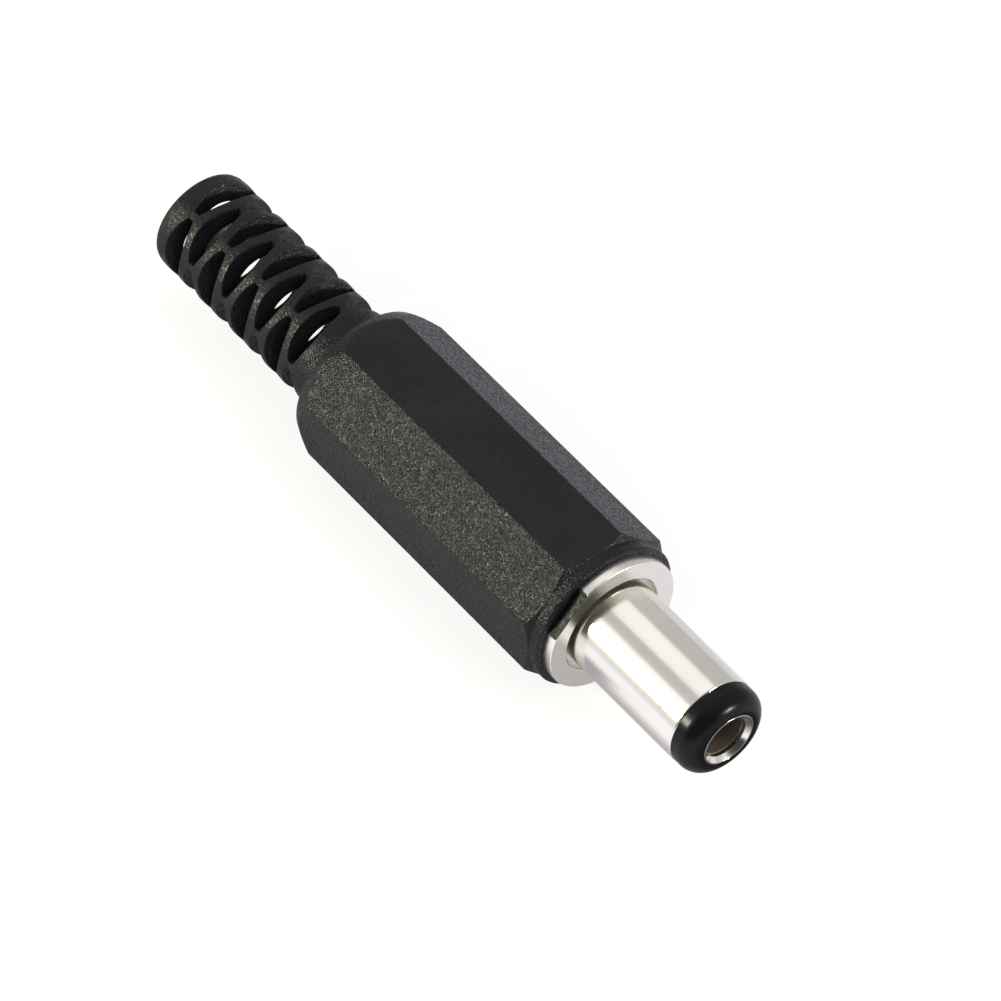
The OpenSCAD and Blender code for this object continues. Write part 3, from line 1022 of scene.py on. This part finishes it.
def turned_nickel(half_flats):
    """Nickel over a turned face: grooves follow the distance from the axis, and tool marks
    and burrs roughen the rim. The wrench flats, where the distance across them reaches half
    their width, are cut by a saw: scuffed and rougher, and painted almost black as painted
    shade from the handle's rim."""
    f, colours, place = new_finish("turned nickel")
    x, y, z = f.axes(place)
    radius = (y * y + z * z) ** 0.5
    line = f.node("CombineXYZ", X=radius * 16000, Y=x * 16000)
    grooves = f.noise(line, 1, 3, 0.6)
    burr = f.noise(place, 2600, 4, 0.65)
    rim = f.ramp(radius, 3.8 * MM, 4.1 * MM)
    across = ((z - y) ** 2 * 0.5) ** 0.5
    # Mask of the wrench flats, which carries both their real scuffs and burrs and their painted
    # shade.
    flats_wear_and_shade = f.ramp(across, half_flats - 0.05 * MM, half_flats - 0.01 * MM)
    scuff = f.noise(place, 5200, 3, 0.6)
    shader = f.node(
        "BsdfPrincipled",
        Metallic=1.0,
        # Painted shade: on the flats the nickel is painted almost black, as if shaded by the
        # handle's rim, with the scuff noise varying it a little. The extra roughness and bump there
        # are real burrs.
        Base_Color=f.vary(f.ramp(scuff, 0.3, 0.6, 0.94, 1) * flats_wear_and_shade, colours.nickel, 0.03),
        Roughness=f.spread(grooves, 0.16, 0.3) + rim * 0.06 + flats_wear_and_shade * 0.25,
        Normal=f.bump(grooves * 0.35 + burr * (0.25 + rim * 0.9) + scuff * flats_wear_and_shade * 5, 0.012 * MM),
    )
    return f.finish(shader)


def tinned_strip(name):
    """Tin plate over rolled strip: streaks along the rolling and a cloudy dullness."""
    f, colours, place = new_finish(name)
    streaks = f.noise(f.stretched(place, (400, 9000, 9000)), 1, 3, 0.6)
    cloud = f.noise(place, 900, 3)
    shader = f.node(
        "BsdfPrincipled",
        Metallic=1.0,
        Base_Color=f.vary(cloud, colours.tin, 0.82),
        Roughness=f.spread(streaks, 0.24, 0.4),
        Normal=f.bump(streaks * 0.5 + cloud * 0.5, 0.004 * MM),
    )
    return f.finish(shader)


def spring_bronze():
    """Dull, half tarnished phosphor bronze, a little darker in patches."""
    f, colours, place = new_finish("spring bronze")
    cloud = f.noise(place, 1400, 3)
    shader = f.node(
        "BsdfPrincipled",
        Metallic=0.5,
        Base_Color=f.vary(cloud, colours.bronze, 0.6),
        Roughness=f.spread(cloud, 0.24, 0.38),
        Normal=f.bump(f.noise(place, 9000), 0.002 * MM),
    )
    return f.finish(shader)


def bush_fibre():
    """Brown vulcanised fibre, mottled and matt."""
    f, colours, place = new_finish("bush fibre")
    fibres = f.noise(f.stretched(place, (9000, 2200, 2200)), 1, 4, 0.65)
    shader = f.node(
        "BsdfPrincipled",
        Base_Color=f.vary(f.spread(fibres), colours.fibre, 1.8),
        Roughness=f.ramp(fibres, 0.2, 0.8, 0.55, 0.75),
        Normal=f.bump(fibres, 0.008 * MM),
    )
    return f.finish(shader)


# The studio


def pale_floor_finish():
    """Pale floor that keeps the plug's shadow. For the camera most of its level is a glow of its
    own, so that it runs into the white surroundings. Mirrors see little of its lit colour and
    instead
    a glow painted by place: painted light in front of the plug and a little behind it, dimmer far
    away, painted shade beside the handle and a painted shadow ahead of the nose, and all of these
    blend smoothly from place to place."""
    f, colours, place = new_finish("pale floor")
    camera, glossy = f.rays("Camera", "Glossy")
    x, y = f.axes(place)[:2]
    # Painted light and shade for mirrors: a lit strip on the plug's near side, a lighter band
    # behind it, dimmer far away, and painted shade beside the handle, where the lit strip also lies
    # further out.
    beside = f.ramp(x, 1 * MM, -2 * MM)
    lit = f.ramp(y + beside * (4 * MM), -3 * MM, -9 * MM) * (0.52 + beside * 0.1)
    behind = f.ramp(y, 0, 4 * MM) * 0.3
    away = f.ramp(y, -15 * MM, -100 * MM) * 0.32 + f.ramp(y, 40 * MM, 140 * MM) * 0.2
    # Painted shadow: to mirrors the glow falls almost to nothing round a spot ahead of the nose,
    # where the plug's shadow lies.
    ahead = ((x - (TIP + 3 * MM)) ** 2 + (y - 2 * MM) ** 2) ** 0.5
    level = 0.44 - beside * 0.1 + lit + behind - away
    level = level * f.ramp(ahead, 2.5 * MM, 6 * MM, 0.06, 1.0)
    shade = f.vary(camera, colours.floor, 0.28)
    # For mirrors the floor's real lit colour is cut almost to nothing, and the painted glow below
    # stands in for it, a little purple.
    diffuse = f.node("BsdfDiffuse", Color=f.mix(glossy, shade, (0.06, 0.06, 0.06)))
    tinge = f.mix(glossy, (1, 1, 1), (1, 0.985, 1.07))
    glow = f.node("Emission", Color=tinge, Strength=camera * 0.79 + glossy * level)
    return f.finish(f.node("AddShader", _0=diffuse, _1=glow))


def surroundings(studio):
    """White to the camera, even fill to matt surfaces, and to mirror rays a studio: a grey
    room, brighter low in front of the plug, nearly dark on the camera's side, with a pale
    floor beyond the horizon."""
    world = bpy.data.worlds.new("studio surroundings")
    bpy.context.scene.world = world
    f = Finish(world)
    camera, glossy, passing = f.rays("Camera", "Glossy", "Transmission")
    x, y, z = f.axes(f.node("TexCoord", output="Generated"))
    front = f.ramp(x * 0.8 - y * 0.6, 0.1, 0.5)
    low = f.ramp(z, 0.12, 0.02) * f.ramp(y, -0.2, -0.6)
    room = (studio.room + low * 0.25) * (1 - front * 0.93)
    below = f.ramp(z, 0.0, -0.08)
    mirror = room * (1 - below) + below * 0.8
    matt = (1 - camera) * (1 - passing) * (1 - glossy)
    strength = camera + passing + glossy * mirror + matt * studio.fill
    return f.finish(f.node("Background", Color=(1, 1, 1, 1), Strength=strength))


def softbox(name, direction, distance, size, radiance, colour=(1, 1, 1), mirrored=True):
    """A rectangular lamp that faces the plug. Its power is radiance x pi x area."""
    data = bpy.data.lights.new(name, "AREA")
    data.shape, (data.size, data.size_y) = "RECTANGLE", size
    data.energy = radiance * math.pi * size[0] * size[1]
    data.color = colour
    lamp = bpy.data.objects.new(name, data)
    away = Vector(direction).normalized()
    lamp.location = LAMPS_AIM + away * distance
    lamp.rotation_euler = away.to_track_quat("Z", "Y").to_euler()
    lamp.visible_camera = False
    lamp.visible_glossy = mirrored
    bpy.context.scene.collection.objects.link(lamp)


class PLUG_OT_studio(bpy.types.Operator):
    """Builds the pale floor, the lamps, the surroundings and the camera"""

    bl_idname = "plug.studio"
    bl_label = "Studio"

    def execute(self, context):
        scene = context.scene
        studio, floor_z = scene.plug_studio, CAD_BOX[0].z
        signs = np.array([(-1, -1), (1, -1), (1, 1), (-1, 1)])
        mesh = bpy.data.meshes.new("floor")
        mesh.from_pydata([(x, y, floor_z) for x, y in FLOOR_HALF * signs], [], [(0, 1, 2, 3)])
        mesh.materials.append(pale_floor_finish())
        floor = bpy.data.objects.new("floor", mesh)
        scene.collection.objects.link(floor)
        surroundings(studio)
        yellowish = (1, 1.02, 0.76)
        softbox("side softbox", (GLANCE, -0.7, 0.5), 0.36, (0.3, 0.25), studio.side)
        softbox("side core", (GLANCE, -0.779, 0.389), 0.4, (0.1, 0.08), studio.core, yellowish)
        softbox("top softbox", (GLANCE, 0.25, 0.8), 0.4, (0.25, 0.2), studio.top)
        softbox("ceiling lamp", (0.55, 0.25, 0.8), 0.4, (0.25, 0.25), studio.high, mirrored=False)
        softbox("small lamp", (0.88, 0.44, 0.2), 0.5, (0.08, 0.08), studio.spot)
        flat = math.cos(studio.elevation)
        back = Vector(
            (
                flat * math.cos(studio.azimuth),
                -flat * math.sin(studio.azimuth),
                math.sin(studio.elevation),
            )
        )
        data = bpy.data.cameras.new("camera")
        data.lens, data.sensor_width = studio.lens, SENSOR
        data.clip_start, data.clip_end = CLIP
        camera = bpy.data.objects.new("camera", data)
        camera.location = Vector((studio.ahead, studio.across, 0)) + back * studio.distance
        camera.rotation_euler = back.to_track_quat("Z", "Y").to_euler()
        scene.collection.objects.link(camera)
        scene.camera = camera
        scene.view_settings.view_transform = "Standard"
        return {"FINISHED"}


class PLUG_PT_panel(bpy.types.Panel):
    """Lists the steps that dress the plug"""

    bl_idname = "PLUG_PT_panel"
    bl_label = "Barrel plug"
    bl_space_type = "VIEW_3D"
    bl_region_type = "UI"
    bl_category = "Plug"

    def draw(self, context):
        for operator in OPERATORS:
            self.layout.operator(operator.bl_idname)


OPERATORS = (
    PLUG_OT_handle,
    PLUG_OT_collar,
    PLUG_OT_barrel,
    PLUG_OT_nose,
    PLUG_OT_contact,
    PLUG_OT_inner_pieces,
    PLUG_OT_studio,
)
GROUPS = {
    "plug_handle": HandleSizes,
    "plug_relief": ReliefSizes,
    "plug_metal": MetalSizes,
    "plug_colours": PlugColours,
    "plug_studio": StudioSettings,
}


def register():
    """Makes the classes known and gives every scene its settings."""
    for group in GROUPS.values():
        bpy.utils.register_class(group)
    for name, group in GROUPS.items():
        setattr(bpy.types.Scene, name, PointerProperty(type=group))
    for made in (*OPERATORS, PLUG_PT_panel):
        bpy.utils.register_class(made)


def unregister():
    """Takes back what register did, last things first."""
    for made in (PLUG_PT_panel, *reversed(OPERATORS)):
        bpy.utils.unregister_class(made)
    for name in GROUPS:
        delattr(bpy.types.Scene, name)
    for group in reversed(GROUPS.values()):
        bpy.utils.unregister_class(group)


def main():
    """Builds every piece and the stage."""
    register()
    for operator in OPERATORS:
        family, name = operator.bl_idname.split(".")
        getattr(getattr(bpy.ops, family), name)()


if __name__ == "__main__":
    main()
